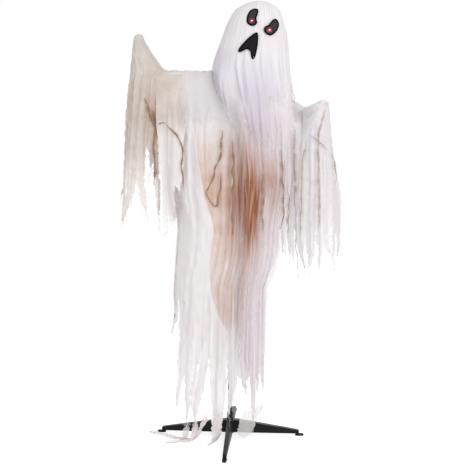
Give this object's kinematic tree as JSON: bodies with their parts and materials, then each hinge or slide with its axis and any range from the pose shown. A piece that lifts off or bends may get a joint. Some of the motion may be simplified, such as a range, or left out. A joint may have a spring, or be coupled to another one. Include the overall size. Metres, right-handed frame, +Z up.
{
  "type": "animated ghost prop",
  "caption": "Life-size draped ghost on a legged floor stand: a gauze-covered upper body with lit eyes rocks from side to side, head nodding and arms raised.",
  "frame": {"origin": "on the floor under the middle of the pole, at the foot of the four legs", "axes": "+Z up along the pole, -Y the way the face looks, +X to the viewer's right"},
  "size_m": [0.9192, 0.6324, 1.828],
  "materials": {
    "black_plastic": "moulded, fine texture",
    "black_steel": "satin black powder coat",
    "foot_rubber": "matt moulded rubber",
    "bright_steel": "plain zinc-plated",
    "bush_brass": "turned",
    "gear_plastic": "natural acetal",
    "board_green": "solder mask",
    "dark_parts": "matt",
    "cell_jacket": "shrink sleeve, plain",
    "button_red": "moulded",
    "head_plastic": "blow-moulded",
    "face_black": "satin moulded",
    "lamp_red": "clear red lens",
    "gauze_white": "sheer gauze",
    "gauze_cream": "sheer gauze, airbrushed brown in the middle"
  },
  "bodies": {
    "stand": {"base_hub": "black_plastic", "leg_front": "black_steel", "leg_right": "black_steel", "leg_rear": "black_steel", "leg_left": "black_steel", "foot_pads": "foot_rubber", "leg_screws": "bright_steel", "pole_collar": "black_plastic", "pole_lower": "black_steel", "pole_middle": "black_steel", "pole_upper": "black_steel", "pole_joiners": "bright_steel", "pole_socket": "black_plastic", "case_front": "black_plastic", "case_rear": "black_plastic", "case_screws": "bright_steel", "gear_plate": "bright_steel", "drive_motor": "bright_steel", "gear_axles": "bright_steel", "shaft_bushes": "bush_brass", "circuit_board": "board_green", "speaker": "dark_parts", "battery_cells": "cell_jacket", "battery_contacts": "bright_steel", "switch_bodies": "dark_parts", "door_pin": "bright_steel"},
    "clamp": {"collar_screw": "black_plastic"},
    "slider": {"mode_switch": "gear_plastic"},
    "button": {"try_button": "button_red"},
    "door": {"battery_door": "black_plastic"},
    "rotor": {"motor_pinion": "bush_brass", "motor_shaft": "bright_steel"},
    "gear_one": {"first_gear": "gear_plastic"},
    "gear_two": {"second_gear": "gear_plastic"},
    "torso": {"rocker_sector": "gear_plastic", "rocker_shaft": "bright_steel", "rocker_yoke": "black_steel", "neck_tube": "black_plastic", "shoulder_hub": "black_plastic", "upper_arm_left": "black_plastic", "upper_arm_right": "black_plastic", "elbow_pins": "bright_steel", "eye_lead": "dark_parts", "robe_front": "gauze_cream", "robe_back": "gauze_cream", "front_drape": "gauze_white", "sleeve_left": "gauze_cream", "sleeve_right": "gauze_cream"},
    "arm_left": {"forearm_left": "black_plastic", "hand_knob_left": "head_plastic"},
    "arm_right": {"forearm_right": "black_plastic", "hand_knob_right": "head_plastic"},
    "head": {"head_bracket": "black_steel", "neck_pin": "bright_steel", "head_shell_front": "head_plastic", "head_shell_rear": "head_plastic", "eye_panels": "face_black", "eye_lenses": "lamp_red", "mouth_panel": "face_black", "hood": "gauze_white"}
  },
  "joints": [
    {"name": "torso_rock", "type": "hinge", "parent": "stand", "child": "torso", "pos_m": [0, 0, 1.346], "axis": [0, 1, 0], "range_deg": [-30, 0], "deforming": ["robe_front", "robe_back", "front_drape", "sleeve_left", "sleeve_right", "hood"]},
    {"name": "neck_tilt", "type": "hinge", "parent": "torso", "child": "head", "pos_m": [0.07325, 0, 1.61936], "axis": [0, 1, 0], "range_deg": [-24, 0], "deforming": ["hood"]},
    {"name": "elbow_left", "type": "hinge", "parent": "torso", "child": "arm_left", "pos_m": [-0.27634, 0, 1.52759], "axis": [0, 1, 0], "range_deg": [-50, 44], "deforming": ["sleeve_left"]},
    {"name": "elbow_right", "type": "hinge", "parent": "torso", "child": "arm_right", "pos_m": [0.33012, 0, 1.36509], "axis": [-0.4891, -0.2079, -0.8471], "range_deg": [-78, 16], "deforming": ["sleeve_right"]},
    {"name": "second_gear_turn", "type": "hinge", "parent": "stand", "child": "gear_two", "pos_m": [0, 0, 1.31], "axis": [0, 1, 0], "range_deg": [-2, 152]},
    {"name": "first_gear_turn", "type": "hinge", "parent": "stand", "child": "gear_one", "pos_m": [0, 0, 1.285], "axis": [0, 1, 0], "range_deg": [-606, 6]},
    {"name": "motor_turn", "type": "hinge", "parent": "stand", "child": "rotor", "pos_m": [0, 0, 1.262], "axis": [0, 1, 0], "range_deg": [-20, 2180]},
    {"name": "door_swing", "type": "hinge", "parent": "stand", "child": "door", "pos_m": [0, 0.0349, 1.254], "axis": [1, 0, 0], "range_deg": [0, 95]},
    {"name": "mode_slide", "type": "slide", "parent": "stand", "child": "slider", "axis": [1, 0, 0], "range_m": [0, 0.006]},
    {"name": "try_press", "type": "slide", "parent": "stand", "child": "button", "axis": [0, -1, 0], "range_m": [0, 0.002], "stiffness_N_per_m": 600},
    {"name": "clamp_turn", "type": "hinge", "parent": "stand", "child": "clamp", "pos_m": [0, 0.02, 0.0915], "axis": [0, 1, 0], "continuous": true}
  ],
  "couplings": [
    {"joint": "second_gear_turn", "follows": "torso_rock", "ratio": -5},
    {"joint": "first_gear_turn", "follows": "torso_rock", "ratio": 20},
    {"joint": "motor_turn", "follows": "torso_rock", "ratio": -72}
  ]
}
